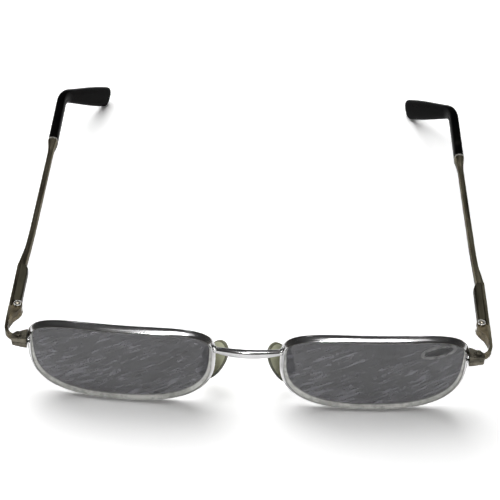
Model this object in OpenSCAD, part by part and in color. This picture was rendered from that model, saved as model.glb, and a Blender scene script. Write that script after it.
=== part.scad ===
// Full-rim metal glasses with spring hinges, screw-on nose pads and plastic temple tips.
// X runs across the face, +Y runs from the front to the ears, +Z is up from the table.
// The glasses stand open on the table, on the bottoms of the rims and on the temple tips.
// The origin is in the middle of the overall box, on the table.

/* [Lenses and rims] */
// Width of a lens, from bevel tip to bevel tip
lens_w = 52.2; // [46:0.2:58]
// Height of a lens, from bevel tip to bevel tip
lens_h = 27.1; // [24:0.1:34]
// Height of the lens's widest line above its lowest point
widest_h = 17.6; // [14:0.1:20]
// Squareness of the lens's upper outer corner
square_top_outer = 3.8; // [2.4:0.1:4.6]
// Squareness of the lens's upper inner corner
square_top_inner = 3.6; // [2.4:0.1:4.6]
// Squareness of the lens's lower inner corner
square_low_inner = 2.8; // [2.2:0.1:4]
// Squareness of the lens's lower outer corner
square_low_outer = 2.9; // [2.2:0.1:4]
// Radius of the sphere that the lenses and rims follow
base_r = 165; // [120:1:260]
// Angle that each lens is turned towards the temple
wrap_angle = 2.6; // [0:0.1:5]
// Thickness of a lens at its centre
lens_mid_t = 2.3; // [1.8:0.1:3.2]
// Thickness of a lens at its edge, before the bevel
lens_edge_t = 1.3; // [1:0.1:1.6]
// Depth of a rim from front to back
rim_d = 2.2; // [1.8:0.1:2.8]
// Thickness of a rim, seen from the front
rim_t = 1.1; // [1:0.05:1.4]
// Depth of the groove that holds the lens
groove_d = 0.45; // [0.3:0.05:0.6]

/* [Bridge] */
// Distance between the two rims
bridge_w = 18.2; // [14:0.2:24]
// Height of the bridge above the table
bridge_z = 20.9; // [18:0.1:23]
// Distance that the bridge bows forward
bridge_bow = 1.3; // [0:0.1:4]
// Depth of the bridge bar at its middle
bridge_mid_d = 2.1; // [1.6:0.1:2.6]
// Height of the bridge bar at its middle
bridge_mid_h = 2.9; // [2:0.1:3.4]
// Height and depth of the bridge bar at its ends
bridge_end = 1.7; // [1.3:0.1:2]

/* [Nose pads] */
// Length of a nose pad
pad_l = 14; // [11:0.2:15]
// Width of a nose pad
pad_w = 8; // [6:0.2:9]
// Thickness of a nose pad
pad_t = 2; // [1.8:0.1:2.6]
// Lean of the pads, closer together at the top
pad_lean = 28; // [15:1:30]
// Turn of the pads, closer together at the front
pad_turn = 40; // [30:1:45]
// Tilt of the pads in their own plane, tops further back
pad_tilt = 13; // [0:1:18]
// Distance from a rim's nose edge out to the pad screw behind it
pad_out = 2.2; // [1.7:0.1:2.9]
// Distance from the rims back to a pad screw
pad_y = 4.7; // [4.6:0.1:6]
// Height of a pad screw above the table
pad_z = 12.1; // [11:0.1:13.5]
// Thickness of the pad arm wire
pad_wire_d = 1; // [0.8:0.05:1.2]

/* [Rim locks and endpieces] */
// Distance from a rim's widest point out to the end of its lock
lock_l = 4.3; // [3.6:0.1:5.5]
// Depth of a rim lock where it meets the rim
lock_d = 4.2; // [3.4:0.1:5]
// Height of a rim lock, both halves
lock_h = 3.4; // [2.8:0.1:4.2]
// Height of the split between the two halves above the table
lock_z = 20.3; // [18.5:0.1:21.5]
// Radius of the rim-lock screw's shank
lock_screw_r = 0.55; // [0.4:0.05:0.6]
// Thickness of the endpiece strip
strip_t = 0.9; // [0.8:0.05:1]
// Height of the endpiece strip at the hinge
strip_h = 3; // [2.6:0.1:3.2]
// Height of the endpiece strip where it turns the corner
strip_low_h = 1.9; // [1.4:0.1:2.6]
// Radius of the endpiece's corner, at the middle of the strip
corner_r = 4.2; // [3:0.1:5]

/* [Hinges] */
// Distance from a rim's outer edge out to the hinge pin
hinge_out = 4.3; // [4:0.05:5.8]
// Distance from the rims back to each hinge pin
hinge_y = 13.7; // [12.5:0.1:16]
// Radius of the hinge barrels
barrel_r = 1.4; // [1:0.05:1.5]
// Height of the whole hinge barrel
barrel_h = 3.2; // [2.8:0.1:3.6]
// Height of the middle knuckle, on the arm's side
knuckle_h = 1.2; // [1:0.05:1.4]
// Radius of the hinge screw's shank
hinge_screw_r = 0.5; // [0.4:0.05:0.55]
// Clearance of the hinge screw in the turning knuckle
pin_fit = 0.05; // [0.02:0.01:0.08]
// Length of the front leaf along the endpiece
leaf_l = 7; // [5:0.1:7.5]
// Gap between the endpiece and the arm, which lets the arm open past square
butt_gap = 0.35; // [0.3:0.05:0.6]

/* [Spring housings] */
// Length of a spring housing
housing_l = 16; // [15.5:0.1:20]
// Width of a spring housing beside the arm
housing_w = 2.4; // [1.9:0.05:2.6]
// Height of a spring housing
housing_h = 2.8; // [2.6:0.1:3.2]
// Radius of the housing's bore
bore_r = 0.62; // [0.58:0.01:0.64]
// Depth of the housing's bore
bore_l = 12.6; // [12.2:0.1:13.5]
// Clearance of the sliding piston in the bore
piston_fit = 0.05; // [0.02:0.01:0.08]
// Travel of the arm against its spring
spring_travel = 0.9; // [0.5:0.1:1]
// Thickness of the spring wire
spring_wire = 0.2; // [0.16:0.01:0.22]
// Number of turns in the spring
spring_turns = 8; // [6:1:9]

/* [Arms and tips] */
// Height of the arms above the table
arm_z = 20.9; // [19:0.1:22.5]
// Distance from the hinge to the bend behind the ear
bend_l = 107; // [100:1:118]
// Radius of the bend
bend_r = 13; // [8:1:20]
// Angle that the tips drop behind the ear
tail_down = 32; // [28:1:45]
// Angle that the tips turn inward
tail_in = 24; // [0:1:26]
// Length over which the arm thins behind its spring housing
taper_l = 16; // [12:1:22]
// Width of the arm's wire
wire_w = 1.9; // [1.3:0.1:2.1]
// Height of the arm's wire
wire_h = 2.6; // [2.2:0.1:3]
// Distance from the hinge to the front end of the plastic tip
tip_start = 80.5; // [76:0.1:86]
// Width of the plastic tip at its front end
tip_w = 3.2; // [2.5:0.1:3.6]
// Height of the plastic tip at its front end
tip_h = 4.4; // [3.4:0.1:4.8]
// Height of the plastic tip near its rear end
paddle_h = 7.2; // [4.6:0.1:8]
// Width of the metal core inside the tip
core_w = 1.2; // [1:0.1:1.4]
// Height of the metal core inside the tip
core_h = 1.9; // [1.6:0.1:2.1]
// Distance from the core's end to the tip's rear end
core_short = 9; // [5:0.5:14]

/* [Label] */
// Length of the oval film label
label_l = 10.5; // [8:0.5:12]
// Height of the oval film label
label_h = 4.8; // [3.5:0.1:5.2]
// Distance from the lens's outer edge in to the outer end of the label
label_in = 1.8; // [1.6:0.1:6]
// Distance from the lens's top down to the middle of the label
label_drop = 4.2; // [3.3:0.1:6]

/* [Hidden] */
$fn = 48;

// Clearances
lens_fit = 0.05;
flat_fit = 0.02;
knuckle_fit = 0.05;
core_fit = 0.06;
screw_fit = 0.01;
film_gap = 0.05;
solder_dip = 0.12;

// Rim, worked out from the lens
rim_wall = rim_t - groove_d;
rim_out = rim_wall + lens_fit;
rim_in = rim_out - rim_t;
rim_half_w = lens_w / 2 + rim_out;
widest_z = widest_h + rim_out;
lens_cx = bridge_w / 2 + rim_half_w;
lens_cy = rim_half_w * sin(wrap_angle);
lens_mid_z = widest_z + (lens_h - 2 * widest_h) / 2;
pad_x = bridge_w / 2 + pad_out;
groove_half = 0.62;
rim_round = 0.2;
quarter_steps = 22;

// Lock, endpiece and hinge, all measured from the hinge pin
rim_edge_x = bridge_w / 2 + 2 * rim_half_w * cos(wrap_angle);
rim_edge_y = 2 * lens_cy;
hinge_x = rim_edge_x + hinge_out;
lock_front = rim_edge_y - lock_d * 0.6;
lock_back = lock_front + lock_d;
lock_end_x = rim_edge_x + lock_l;
lock_screw_x = rim_edge_x + lock_l * 0.58;
lock_screw_y = lock_front + lock_d * 0.45;
lock_slit = 0.12;
strip_in = barrel_r + 0.2;
strip_out = strip_in + strip_t;
strip_mid_x = hinge_x + strip_in + strip_t / 2;
corner_x = strip_mid_x - corner_r;
corner_angle = acos((lock_end_x - 0.55 - corner_x) / corner_r);
corner_y = lock_front + lock_d * 0.42 + corner_r * sin(corner_angle);
strip_low_z = lock_z + lock_h / 2 - strip_low_h / 2 - 0.25;
leaf_slot = knuckle_h + 2 * knuckle_fit;
open_past = 10;

// Spring hinge, measured back from the hinge pin
housing_start = barrel_r + 0.4;
housing_end = housing_start + housing_l;
housing_in = strip_in - housing_w;
bore_x = strip_in - housing_w / 2;
bore_end = housing_start + bore_l;
piston_r = bore_r - piston_fit;
piston_end = housing_start + 2.6;
stop_start = piston_end + 0.3;
stop_t = 0.8;
rod_r = piston_r / 2;
nut_t = 1;
nut_r = piston_r - 0.04;
nut_end = bore_end - 0.4;
spring_start = stop_start + stop_t + flat_fit;
spring_end = nut_end - nut_t - spring_travel - 0.1;
spring_r = piston_r - spring_wire / 2 - 0.03;

// Arm and tip
tail_dir = [-sin(tail_in) * cos(tail_down), cos(tail_in) * cos(tail_down), -sin(tail_down)];
bend_angle = acos(tail_dir.y);
bend_t = bend_r * tan(bend_angle / 2);
bend_start = bend_l - bend_t;
bend_arc = bend_r * bend_angle * PI / 180;
bend_end = bend_start + bend_arc;
// Distances along the bend, shared by the tip and the core inside it
bend_steps = 7;
bend_stops = [for (i = [0 : bend_steps]) bend_start + bend_arc * i / bend_steps];
// Rounding of the tip's end: distance from the end and share of the full section
end_round = [[2.4, 1], [1.4, 0.95], [0.7, 0.85], [0.25, 0.68], [0.05, 0.45]];
tail_reach = max([for (e = end_round) e[1] * paddle_h / 2 * cos(tail_down) - e[0] * sin(tail_down)]);
tail_l = (arm_z - tail_reach) / sin(tail_down) - bend_t;
path_end = bend_end + tail_l;
core_end = path_end - core_short;
thick_start = housing_end + flat_fit;
flare_l = 7;
tip_front = tip_start + flat_fit;
tip_sides = 16;
wire_sides = 16;

// Label film, placed from the lens's outline at the height of the label's outer end
film_t = 0.06;
label_tilt = 10;
label_rise = lens_h - widest_h - label_drop;
label_end_u = pow((label_rise + label_l / 2 * sin(label_tilt)) / (lens_h - widest_h), square_top_outer);
label_end_x = lens_w / 2 * pow(1 - label_end_u, 1 / square_top_outer);
label_x = lens_cx + label_end_x - label_in - label_l / 2 * cos(label_tilt);
label_z = widest_z + label_rise;

// Overall depth, so that the origin lies halfway between front and back
front_face = -bridge_bow - bridge_mid_d / 2;
back_face = max([for (ring = tip_outside()) for (p = ring) p.y]);
front_y = -(front_face + back_face) / 2;

// Shared curves

// Signed power, for rounded rectangles
function power(v, e) = sign(v) * pow(abs(v), e);

// Closed section of width w and height h with squareness n
function section(w, h, n, sides) = [
    for (i = [0 : sides - 1]) let (a = (i + 0.5) * 360 / sides)
        [w / 2 * power(cos(a), 2 / n), h / 2 * power(sin(a), 2 / n)]
];

// Point on a smooth curve through four points, between the middle two
function between(a, b, c, d, t) =
    0.5 * (2 * b + (c - a) * t + (2 * a - 5 * b + 4 * c - d) * t * t
        + (3 * b - a - 3 * c + d) * t * t * t);

// Smooth curve through a list of points
function smooth(p, steps) = [
    for (i = [0 : len(p) - 2]) for (k = [0 : steps - (i < len(p) - 2 ? 1 : 0)])
        between(p[max(i - 1, 0)], p[i], p[i + 1], p[min(i + 2, len(p) - 1)], k / steps)
];

function unit(v) = v / norm(v);

// Frame across a direction: its side and its upward normal
function side_of(d) = unit([d.y, -d.x, 0]);
function up_of(d) = cross(side_of(d), d);

// Ring of points across a path
function ring_at(p, d, shape) = [for (q = shape) p + side_of(d) * q[0] + up_of(d) * q[1]];

// Skin over a list of rings; a first or last entry with one point makes that end a fan
module skin(rings) {
    n = len(rings[1]);
    fan_a = len(rings[0]) == 1;
    fan_b = len(rings[len(rings) - 1]) == 1;
    first = fan_a ? 1 : 0;
    last = len(rings) - (fan_b ? 2 : 1);
    count = last - first + 1;
    points = [
        for (i = [first : last]) for (p = rings[i]) p,
        if (fan_a) rings[0][0],
        if (fan_b) rings[len(rings) - 1][0]
    ];
    tip_a = count * n;
    tip_b = tip_a + (fan_a ? 1 : 0);
    sides = [
        for (i = [0 : count - 2]) for (j = [0 : n - 1]) let (k = (j + 1) % n)
            each [[i * n + j, i * n + k, (i + 1) * n + k], [i * n + j, (i + 1) * n + k, (i + 1) * n + j]]
    ];
    top = (count - 1) * n;
    end_a = fan_a ? [for (j = [0 : n - 1]) [tip_a, (j + 1) % n, j]] : [[for (j = [n - 1 : -1 : 0]) j]];
    end_b = fan_b
        ? [for (j = [0 : n - 1]) [tip_b, top + j, top + (j + 1) % n]]
        : [[for (j = [0 : n - 1]) top + j]];
    polyhedron(points, concat(end_a, sides, end_b));
}

// Places what is drawn in the front's own frame, whose y is 0 at the rims' nose side
module placed() {
    translate([0, front_y, 0]) children();
}

// Draws the right-hand piece, or its mirror image on the left
module on(side) {
    placed() mirror([side < 0 ? 1 : 0, 0, 0]) children();
}

// Lens and rim

function squareness(t) =
    sin(t) >= 0
        ? (cos(t) >= 0 ? square_top_outer : square_top_inner)
        : (cos(t) >= 0 ? square_low_outer : square_low_inner);

function lens_reach(t) = sin(t) >= 0 ? lens_h - widest_h : widest_h;

// Point of the lens's outline, measured from the widest line's middle
function outline(t) = let (n = squareness(t))
    [lens_w / 2 * power(cos(t), 2 / n), lens_reach(t) * power(sin(t), 2 / n)];

// Direction straight out of the outline
function outward(t) = let (n = squareness(t))
    unit([power(cos(t), 2 - 2 / n) * 2 / lens_w, power(sin(t), 2 - 2 / n) / lens_reach(t)]);

// How far the sphere falls back at a point of the lens
function fall(q) = base_r - sqrt(base_r * base_r - q[0] * q[0] - pow(q[1] + widest_z - lens_mid_z, 2));

// Point of the front: q in the lens's plane, d behind the lens's middle surface
function on_front(q, d) = let (y = fall(q) - fall([rim_half_w, 0]) + d)
    [
        lens_cx + q[0] * cos(wrap_angle) - y * sin(wrap_angle),
        lens_cy + q[0] * sin(wrap_angle) + y * cos(wrap_angle),
        q[1] + widest_z
    ];

// How far round the outline's side lies a height above or below the widest line
function round_to(z, n_above, n_below) = z >= widest_z
    ? asin(pow((z - widest_z) / (lens_h - widest_h), n_above / 2))
    : -asin(pow((widest_z - z) / widest_h, n_below / 2));

// Angle of the outline at the height of the lock's split
split_t = round_to(lock_z, square_top_outer, square_low_outer);
split_half = 0.3;

// Angles along the outline, from just above the split round to just below it
turns = [
    for (i = [0 : quarter_steps - 1]) split_t + split_half + (90 - split_t - split_half) * i / quarter_steps,
    for (q = [1 : 2]) for (i = [0 : quarter_steps - 1]) 90 * q + 90 * i / quarter_steps,
    for (i = [0 : quarter_steps]) 270 + (90 + split_t - split_half) * i / quarter_steps
];

// Section of the rim: distance out from the bevel tip, and depth
rim_section = [
    [rim_out, rim_d / 2 - 2 * rim_round], [rim_out, -rim_d / 2 + 2 * rim_round],
    [rim_out - rim_round, -rim_d / 2 + rim_round / 2], [rim_out - 2 * rim_round, -rim_d / 2],
    [rim_in, -rim_d / 2 + rim_round / 2], [rim_in, -groove_half],
    [lens_fit, 0],
    [rim_in, groove_half], [rim_in, rim_d / 2 - rim_round / 2],
    [rim_out - 2 * rim_round, rim_d / 2], [rim_out - rim_round, rim_d / 2 - rim_round / 2]
];

module rim() {
    color("lightsteelblue") skin([
        for (t = turns) [for (s = rim_section) on_front(outline(t) + outward(t) * s[0], s[1])]
    ]);
}

// Half the lens's thickness at a point
lens_corner = norm([lens_w / 2, lens_h / 2]);
function half_lens(q) =
    (lens_mid_t - (lens_mid_t - lens_edge_t) * min(1, pow(norm(q) / lens_corner, 2))) / 2;

// Edge of the lens inside the rim, where the bevel starts
function lens_edge(t) = outline(t) + outward(t) * (rim_in - lens_fit);

// Ring of the lens's front (side -1) or back (side 1), at a share of the outline
function lens_ring(share, side) = [
    for (t = turns) let (q = lens_edge(t) * share) on_front(q, side * half_lens(q))
];

function bevel_ring(side) = [for (t = turns) on_front(lens_edge(t), side * (groove_half - lens_fit))];

module lens() {
    shares = [0.4, 0.75, 1];
    color([0.45, 0.46, 0.5, 0.6]) skin([
        [on_front([0, 0], -half_lens([0, 0]))],
        for (s = shares) lens_ring(s, -1),
        bevel_ring(-1),
        [for (t = turns) on_front(outline(t), 0)],
        bevel_ring(1),
        for (i = [len(shares) - 1 : -1 : 0]) lens_ring(shares[i], 1),
        [on_front([0, 0], half_lens([0, 0]))]
    ]);
}

// Oval film that follows the lens's front
module label() {
    steps = 32;
    middle = [label_x - lens_cx, label_z - widest_z];
    function place(share, a) = let (
            u = share * label_l / 2 * cos(a),
            v = share * label_h / 2 * sin(a)
        )
        middle + [u * cos(label_tilt) - v * sin(label_tilt), u * sin(label_tilt) + v * cos(label_tilt)];
    function film(q, out) = on_front(q, -half_lens(q) - film_gap - out);
    function film_ring(share, out) = [for (i = [0 : steps - 1]) film(place(share, i * 360 / steps), out)];
    color("gainsboro") skin([
        [film(middle, film_t)],
        film_ring(0.5, film_t),
        film_ring(1, film_t),
        film_ring(1, 0),
        film_ring(0.5, 0),
        [film(middle, 0)]
    ]);
}

// Bridge bar, thicker at its middle, bowed forward

function bridge_point(u) = [
    u * (bridge_w / 2 + solder_dip), -bridge_bow * (1 - u * u) * (1 - u * u * 0.2), bridge_z
];
function bridge_d(u) = bridge_end + (bridge_mid_d - bridge_end) * (1 - u * u);
function bridge_h(u) = bridge_end + (bridge_mid_h - bridge_end) * (1 - u * u);

module bridge() {
    steps = 22;
    color("lightsteelblue") placed() skin([
        for (i = [0 : steps]) let (
                u = 2 * i / steps - 1,
                ahead = bridge_point(min(u + 0.02, 1)),
                behind = bridge_point(max(u - 0.02, -1))
            )
            ring_at(bridge_point(u), unit(ahead - behind), section(bridge_d(u), bridge_h(u), 2.3, 16))
    ]);
}

// Nose pads, drawn about the pad screw: x out of the nose, y along the screw, z up the pad

pad_back = -1.35;
box_open = -0.95;
box_end = 1.4;
box_w = 2.6;
box_h = 2.3;
box_wall = 0.55;
pad_screw_r = 0.42;
tab_w = box_w - 2 * box_wall - 0.2;
tab_r = 0.85;
plate_w = pad_w - 2 * 2.4;
plate_l = pad_l - 2 * 4;

module at_pad() {
    translate([pad_x, pad_y, pad_z]) rotate([0, 0, -pad_turn]) rotate([pad_tilt, -pad_lean, 0]) children();
}

function at_pad_point(p) = let (
        y = p.y * cos(pad_tilt) - p.z * sin(pad_tilt),
        z = p.y * sin(pad_tilt) + p.z * cos(pad_tilt),
        x = p.x * cos(pad_lean) - z * sin(pad_lean)
    )
    [
        pad_x + x * cos(pad_turn) + y * sin(pad_turn),
        pad_y - x * sin(pad_turn) + y * cos(pad_turn),
        pad_z + p.x * sin(pad_lean) + z * cos(pad_lean)
    ];

// Shares of the pad's outline and of its thickness, from the box side to the skin side
pad_profile = [[0.55, 0.05], [0.86, 0.1], [1, 0.36], [0.98, 0.62], [0.82, 0.86], [0.5, 0.97]];

module pad_tab() {
    translate([pad_back - 0.8, -tab_w / 2, -tab_r]) cube([0.8 - pad_back, tab_w, 2 * tab_r]);
}

module pad_plate() {
    translate([pad_back - 1.2, -plate_w / 2, -plate_l / 2]) cube([0.5, plate_w, plate_l]);
}

module nose_pad() {
    color("khaki") at_pad() difference() {
        skin([
            [[pad_back, 0, 0]],
            for (s = pad_profile) [
                for (i = [0 : 27]) let (a = i * 360 / 28)
                    [
                        pad_back - pad_t * s[1],
                        s[0] * pad_w / 2 * power(cos(a), 0.9),
                        s[0] * pad_l / 2 * power(sin(a), 0.9)
                    ]
            ],
            [[pad_back - pad_t, 0, 0]]
        ]);
        pad_tab();
        pad_plate();
    }
}

module pad_core() {
    color("silver") at_pad() difference() {
        union() {
            pad_tab();
            pad_plate();
            rotate([90, 0, 0]) cylinder(r = tab_r, h = tab_w, center = true);
        }
        rotate([90, 0, 0]) cylinder(r = pad_screw_r + pin_fit, h = tab_w + 1, center = true);
    }
}

module pad_box() {
    color("lightsteelblue") at_pad() difference() {
        translate([box_open, -box_w / 2, -box_h / 2]) cube([box_end - box_open, box_w, box_h]);
        translate([box_open - 1, -box_w / 2 + box_wall, -box_h / 2 - 1])
            cube([tab_r + 0.1 - box_open + 1, box_w - 2 * box_wall, box_h + 2]);
        rotate([90, 0, 0]) cylinder(r = pad_screw_r + screw_fit, h = box_w + 1, center = true);
    }
}

module pad_screw() {
    head_r = 0.75;
    head_h = 0.45;
    at_pad() difference() {
        union() {
            translate([0, box_w / 2 + flat_fit, 0]) rotate([90, 0, 0]) cylinder(r = pad_screw_r, h = box_w);
            translate([0, box_w / 2 + flat_fit + head_h, 0]) rotate([90, 0, 0]) cylinder(r = head_r, h = head_h);
        }
        translate([-head_r - 1, box_w / 2 + flat_fit + head_h * 0.5, -0.12])
            cube([2 * head_r + 2, head_h, 0.24]);
    }
}

// Wire from the rim's back, round to the back of the pad box
module pad_arm() {
    box_face = box_end - solder_dip;
    foot_z = pad_z + 4.6;
    foot_t = 180 - round_to(foot_z, square_top_inner, square_low_inner);
    foot = on_front(outline(foot_t) + outward(foot_t) * (rim_in + rim_out) / 2, rim_d / 2 - 0.3);
    route = [
        foot,
        foot + [0.1, 1.9, 0.5],
        at_pad_point([box_end + 1.3, 1.2, 4]),
        at_pad_point([box_end + 1.5, 0.4, 1.6]),
        at_pad_point([box_face, 0, 0.2])
    ];
    line = smooth(route, 5);
    last = len(line) - 1;
    color("lightsteelblue") skin([
        for (i = [0 : last]) let (
                ahead = line[min(i + 1, last)],
                behind = line[max(i - 1, 0)],
                d = unit(ahead - behind)
            )
            ring_at(line[i], d, section(pad_wire_d, pad_wire_d, 2, 10))
    ]);
}

// Rim lock: two halves soldered to the rim's ends, one screw through both

module lock_plan() {
    end_r = 0.6;
    inner_x = rim_edge_x - 0.05;
    hull() {
        translate([lock_end_x - end_r, lock_front + 0.3 + end_r]) circle(r = end_r, $fn = 32);
        translate([lock_end_x - end_r, lock_front + lock_d * 0.62 - end_r]) circle(r = end_r, $fn = 32);
        translate([inner_x, lock_front]) square([0.2, lock_d]);
    }
}

// The block's top and bottom come together towards its outer end
module lock_side() {
    half = lock_h / 2;
    polygon([
        [rim_edge_x - 1, lock_z - half], [rim_edge_x + 1, lock_z - half],
        [lock_end_x, lock_z - half + 0.6], [lock_end_x, lock_z + half - 0.2],
        [rim_edge_x + 1, lock_z + half], [rim_edge_x - 1, lock_z + half]
    ]);
}

module lock_block() {
    intersection() {
        linear_extrude(2 * arm_z) lock_plan();
        translate([0, 2 * lock_back, 0]) rotate([90, 0, 0]) linear_extrude(4 * lock_back) lock_side();
    }
}

module lock_half(upper) {
    bottom = upper ? lock_z + lock_slit / 2 : lock_z - lock_h;
    color("slategray") difference() {
        lock_block();
        translate([0, -lock_d, upper ? lock_z + lock_slit / 2 - arm_z : lock_z - lock_slit / 2])
            cube([2 * hinge_x, 4 * lock_d, arm_z]);
        translate([lock_screw_x, lock_screw_y, bottom - 1])
            cylinder(r = lock_screw_r + (upper ? pin_fit : screw_fit), h = 2 * lock_h);
    }
}

module lock_screw() {
    head_r = 0.95;
    head_h = 0.4;
    top = lock_z + lock_h / 2 + flat_fit;
    translate([lock_screw_x, lock_screw_y, 0]) difference() {
        union() {
            translate([0, 0, lock_z - lock_h / 2 + 0.5]) cylinder(r = lock_screw_r, h = lock_h - 0.4);
            translate([0, 0, top]) cylinder(r = head_r, h = head_h);
        }
        translate([-head_r - 1, -0.13, top + head_h * 0.5]) cube([2 * head_r + 2, 0.26, head_h]);
    }
}

// Endpiece strip: straight beside the hinge, then round the corner into the lock's end

module strip_plan() {
    end_y = hinge_y - butt_gap;
    slant = strip_t * tan(open_past);
    union() {
        translate([corner_x, corner_y]) difference() {
            circle(r = corner_r + strip_t / 2, $fn = 96);
            circle(r = corner_r - strip_t / 2, $fn = 96);
            translate([-2 * corner_r, 0]) square(4 * corner_r);
            rotate(-corner_angle) translate([-4 * corner_r, -4 * corner_r]) square([8 * corner_r, 4 * corner_r]);
        }
        polygon([
            [hinge_x + strip_in, corner_y - 0.01], [hinge_x + strip_out, corner_y - 0.01],
            [hinge_x + strip_out, end_y - slant], [hinge_x + strip_in, end_y]
        ]);
    }
}

module strip_side() {
    high = arm_z + strip_h / 2;
    low = arm_z - strip_h / 2;
    polygon([
        [hinge_y, low], [hinge_y - leaf_l * 0.6, low + 0.1],
        [corner_y - corner_r * 0.55, strip_low_z - strip_low_h / 2],
        [lock_front - 2, strip_low_z - strip_low_h / 2],
        [lock_front - 2, strip_low_z + strip_low_h / 2],
        [corner_y - corner_r * 0.55, strip_low_z + strip_low_h / 2],
        [hinge_y - leaf_l * 0.6, high - 0.1], [hinge_y, high]
    ]);
}

module endpiece() {
    color("lightsteelblue") difference() {
        intersection() {
            linear_extrude(2 * arm_z) strip_plan();
            rotate([90, 0, 90]) linear_extrude(2 * hinge_x) strip_side();
        }
        lock_block();
    }
}

// Hinge

module at_hinge() {
    translate([hinge_x, hinge_y, arm_z]) children();
}

module leaf_plan() {
    polygon([
        [strip_in - flat_fit, -butt_gap - 0.1], [strip_in - flat_fit, -leaf_l],
        [strip_in - 0.35, -leaf_l + 1.2], [strip_in - 0.9, -leaf_l + 2.7],
        [-barrel_r * 0.45, -2.6], [-barrel_r * 0.86, -1.3],
        [-barrel_r * 0.97, -barrel_r * 0.25], [0, -butt_gap - 0.1]
    ]);
}

module hinge_leaf() {
    color("silver") at_hinge() difference() {
        union() {
            translate([0, 0, -barrel_h / 2]) linear_extrude(barrel_h) leaf_plan();
            cylinder(r = barrel_r, h = barrel_h, center = true);
        }
        cylinder(r = barrel_r + 0.12, h = leaf_slot, center = true);
        cylinder(r = hinge_screw_r + screw_fit, h = barrel_h + 1, center = true);
    }
}

module hinge_screw() {
    head_r = barrel_r * 0.82;
    head_h = 0.45;
    at_hinge() difference() {
        union() {
            translate([0, 0, -barrel_h / 2]) cylinder(r = hinge_screw_r, h = barrel_h + 0.1);
            translate([0, 0, barrel_h / 2 + flat_fit]) cylinder(r = head_r, h = head_h);
        }
        translate([-head_r - 1, -0.13, barrel_h / 2 + head_h * 0.55]) cube([2 * head_r + 2, 0.26, head_h]);
    }
}

// Cylinder along the arm, from one distance behind the pin to another
module along(r, from, to) {
    translate([bore_x, from, 0]) rotate([-90, 0, 0]) cylinder(r = r, h = to - from);
}

module hinge_slider() {
    color("silver") at_hinge() difference() {
        union() {
            cylinder(r = barrel_r, h = knuckle_h, center = true);
            translate([bore_x - piston_r, 0, -knuckle_h / 2])
                cube([2 * piston_r, housing_start - 0.15, knuckle_h]);
            along(piston_r, barrel_r + 0.15, piston_end);
            along(rod_r, piston_end - 0.1, nut_end - nut_t * 0.4);
        }
        cylinder(r = hinge_screw_r + pin_fit, h = knuckle_h + 1, center = true);
    }
}

module rod_nut() {
    color("gold") at_hinge() difference() {
        along(nut_r, nut_end - nut_t, nut_end);
        along(rod_r + screw_fit, nut_end - nut_t - 1, nut_end - nut_t * 0.4 + flat_fit);
    }
}

module spring_stop() {
    color("gold") at_hinge() difference() {
        along(bore_r - screw_fit, stop_start, stop_start + stop_t);
        along(rod_r + pin_fit, stop_start - 1, stop_start + stop_t + 1);
    }
}

module spring() {
    steps = 10;
    sides = 6;
    wire_r = spring_wire / 2;
    rise = spring_end - spring_start - spring_wire;
    color("gray") at_hinge() translate([bore_x, spring_start + wire_r, 0]) skin([
        for (i = [0 : steps * spring_turns]) let (a = i * 360 / steps)
            [
                for (j = [0 : sides - 1]) let (
                        b = -j * 360 / sides,
                        r = spring_r + wire_r * cos(b)
                    )
                    [r * cos(a), rise * i / steps / spring_turns + wire_r * sin(b), r * sin(a)]
            ]
    ]);
}

// Housing soldered to the arm's inner side, its rear end sloped to the arm
module housing_plan() {
    slope = 1.7;
    polygon([
        [housing_in, housing_start], [strip_in - flat_fit, housing_start],
        [strip_in - flat_fit, housing_end], [housing_in + 1, housing_end],
        [housing_in, housing_end - slope]
    ]);
}

module spring_housing() {
    half = housing_h / 2;
    color("lightsteelblue") at_hinge() difference() {
        intersection() {
            translate([0, 0, -half]) linear_extrude(housing_h) housing_plan();
            rotate([-90, 0, 0]) linear_extrude(housing_end) polygon([
                [housing_in, -half + 0.4], [housing_in + 0.35, -half], [strip_in, -half],
                [strip_in, half], [housing_in + 0.35, half], [housing_in, half - 0.4]
            ]);
        }
        along(bore_r, housing_start - 1, bore_end);
    }
}

// Arm and tip, along one path from the hinge to behind the ear

function arm_point(s) =
    s <= bend_start ? [hinge_x, hinge_y + s, arm_z]
    : let (a = min((s - bend_start) / bend_arc, 1) * bend_angle)
        [hinge_x, hinge_y + bend_start, arm_z]
        + [0, 1, 0] * bend_r * (cos(bend_angle - a) - cos(bend_angle)) / sin(bend_angle)
        + tail_dir * (bend_r * (1 - cos(a)) / sin(bend_angle) + max(0, s - bend_end));

function arm_dir(s) =
    s <= bend_start ? [0, 1, 0]
    : s >= bend_end ? tail_dir
    : let (a = (s - bend_start) / bend_arc * bend_angle)
        ([0, 1, 0] * sin(bend_angle - a) + tail_dir * sin(a)) / sin(bend_angle);

// Section across the arm that reaches from one side to the other, measured from the pin
function arm_ring(s, inner, outer, h, n) =
    [for (p = ring_at(arm_point(s), arm_dir(s), section(outer - inner, h, n, wire_sides)))
        p + side_of(arm_dir(s)) * (inner + outer) / 2];

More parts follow.
